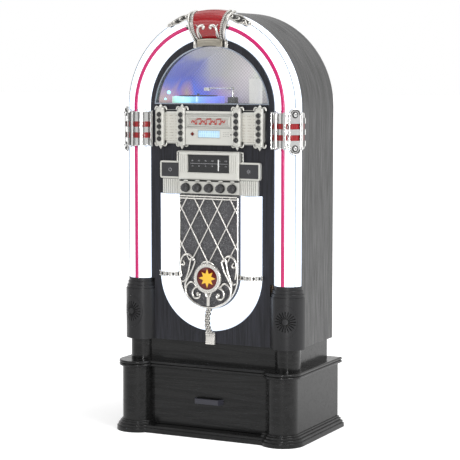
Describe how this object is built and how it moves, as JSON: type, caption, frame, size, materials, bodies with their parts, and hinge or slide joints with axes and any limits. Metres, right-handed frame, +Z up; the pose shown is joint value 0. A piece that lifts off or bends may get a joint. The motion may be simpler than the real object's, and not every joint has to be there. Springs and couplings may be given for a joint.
{
  "type": "jukebox",
  "caption": "Arched LED jukebox on a drawer stand, with light tubes, display window, disc tray, tuner dial with knobs, and lattice loudspeaker grille.",
  "frame": {"origin": "centre of the stand's footprint on the floor", "axes": "+X to the right seen from the front, +Y towards the back, +Z up; the drawer, dial and window face -Y"},
  "size_m": [0.6232, 0.3736, 1.2806],
  "materials": {
    "stand_black": "black open-grain veneer under satin lacquer",
    "drawer_birch": "plain birch plywood",
    "handle_black": "satin black powder coat",
    "steel": "zinc-plated sheet and hardware",
    "cabinet_grain": "dark grey-black wood-grain foil, satin",
    "board": "raw fibreboard",
    "back_board": "black painted hardboard",
    "black_plastic": "moulded, fine texture",
    "baffle_grain": "black wood-grain foil, satin",
    "base_plastic": "moulded black, satin gloss",
    "speaker_paper": "pressed cone paper",
    "light_diffuser": "opal diffuser, lit from inside",
    "neon": "magenta strip",
    "circuit": "green circuit board",
    "bright_chrome": "bright plating",
    "red_lens": "ribbed red translucent lens",
    "clear_pane": "clear acrylic pane",
    "prism_foil": "rainbow grid foil",
    "platform_glow": "lit translucent drum",
    "disc_black": "grooved black disc",
    "silver_panel": "satin warm silver",
    "card": "printed title card",
    "stud_black": "polished black stud",
    "display_blue": "pale blue liquid-crystal display",
    "dial_black": "black dial plate",
    "pointer_white": "white pointer",
    "knob_black": "moulded knob",
    "button_black": "moulded push plate",
    "cloth_black": "black loudspeaker cloth with a sparkle thread",
    "silver_cast": "plated casting"
  },
  "bodies": {
    "cabinet": {"stand_case": "stand_black", "stand_foot": "stand_black", "stand_rim": "stand_black", "runner_rails": "steel", "plinth_frame": "stand_black", "cabinet_wrap": "cabinet_grain", "cabinet_floor": "board", "back_panel": "back_board", "back_screws": "steel", "power_inlet": "black_plastic", "jack_plate": "black_plastic", "front_board": "board", "front_baffle": "baffle_grain", "column_bases": "base_plastic", "side_grilles": "base_plastic", "side_speakers": "speaker_paper", "column_tubes": "light_diffuser", "arch_tube": "light_diffuser", "neon_strips": "neon", "led_bars": "circuit", "tube_clamps": "bright_chrome", "clamp_lenses": "red_lens", "crown_lens": "red_lens", "crown_bracket": "bright_chrome", "window_trim": "bright_chrome", "window_pane": "clear_pane", "display_chamber": "black_plastic", "prism_backdrop": "prism_foil", "light_platform": "platform_glow", "title_panel": "silver_panel", "title_cards": "card", "button_studs": "stud_black", "display_window": "display_blue", "cd_mechanism": "steel", "tuner_panel": "silver_panel", "dial_plate": "dial_black", "control_board": "circuit", "u_tube": "light_diffuser", "u_clips": "bright_chrome", "grille_cloth": "cloth_black", "lattice_grille": "silver_cast", "medallion": "silver_cast", "woofer": "speaker_paper", "power_supply": "steel", "amplifier_board": "circuit"},
    "drawer": {"drawer_front": "stand_black", "drawer_box": "drawer_birch", "drawer_handle": "handle_black"},
    "disc_tray": {"tray_front": "silver_panel", "cd_tray": "black_plastic"},
    "volume_knob": {"volume_knob": "knob_black"},
    "bass_knob": {"bass_knob": "knob_black"},
    "treble_knob": {"treble_knob": "knob_black"},
    "band_knob": {"band_knob": "knob_black"},
    "tuning_knob": {"tuning_knob": "knob_black"},
    "dial_pointer": {"dial_pointer": "pointer_white"},
    "power_button": {"power_button": "button_black"},
    "light_button": {"light_button": "button_black"},
    "platter": {"disc_platter": "disc_black"},
    "tonearm": {"tonearm": "bright_chrome"}
  },
  "joints": [
    {"name": "drawer_slide", "type": "slide", "parent": "cabinet", "child": "drawer", "axis": [0, -1, 0], "range_m": [0, 0.2]},
    {"name": "tray_slide", "type": "slide", "parent": "cabinet", "child": "disc_tray", "axis": [0, -1, 0], "range_m": [0, 0.13]},
    {"name": "volume_turn", "type": "hinge", "parent": "cabinet", "child": "volume_knob", "pos_m": [-0.0778, -0.119, 0.7505], "axis": [0, 1, 0], "range_deg": [0, 300]},
    {"name": "bass_turn", "type": "hinge", "parent": "cabinet", "child": "bass_knob", "pos_m": [-0.0389, -0.119, 0.7505], "axis": [0, 1, 0], "range_deg": [-150, 150]},
    {"name": "treble_turn", "type": "hinge", "parent": "cabinet", "child": "treble_knob", "pos_m": [0, -0.119, 0.7505], "axis": [0, 1, 0], "range_deg": [-150, 150]},
    {"name": "band_turn", "type": "hinge", "parent": "cabinet", "child": "band_knob", "pos_m": [0.0389, -0.119, 0.7505], "axis": [0, 1, 0], "range_deg": [-30, 30]},
    {"name": "tuning_turn", "type": "hinge", "parent": "cabinet", "child": "tuning_knob", "pos_m": [0.0778, -0.119, 0.7505], "axis": [0, 1, 0], "range_deg": [-340, 100]},
    {"name": "pointer_slide", "type": "slide", "parent": "cabinet", "child": "dial_pointer", "axis": [1, 0, 0], "range_m": [-0.092, 0.03]},
    {"name": "power_press", "type": "slide", "parent": "cabinet", "child": "power_button", "axis": [0, 1, 0], "range_m": [0, 0.003], "stiffness_N_per_m": 400, "springref_m": -0.0005},
    {"name": "light_press", "type": "slide", "parent": "cabinet", "child": "light_button", "axis": [0, 1, 0], "range_m": [0, 0.003], "stiffness_N_per_m": 400, "springref_m": -0.0005},
    {"name": "platter_spin", "type": "hinge", "parent": "cabinet", "child": "platter", "pos_m": [-0.097, -0.002, 1.021], "axis": [0, 0, 1], "continuous": true},
    {"name": "tonearm_swing", "type": "hinge", "parent": "cabinet", "child": "tonearm", "pos_m": [0.027, -0.015, 1.03], "axis": [0, 0, 1], "range_deg": [-10, 35]}
  ],
  "couplings": [
    {"joint": "pointer_slide", "follows": "tuning_turn", "m_per_rad": 0.0152}
  ]
}
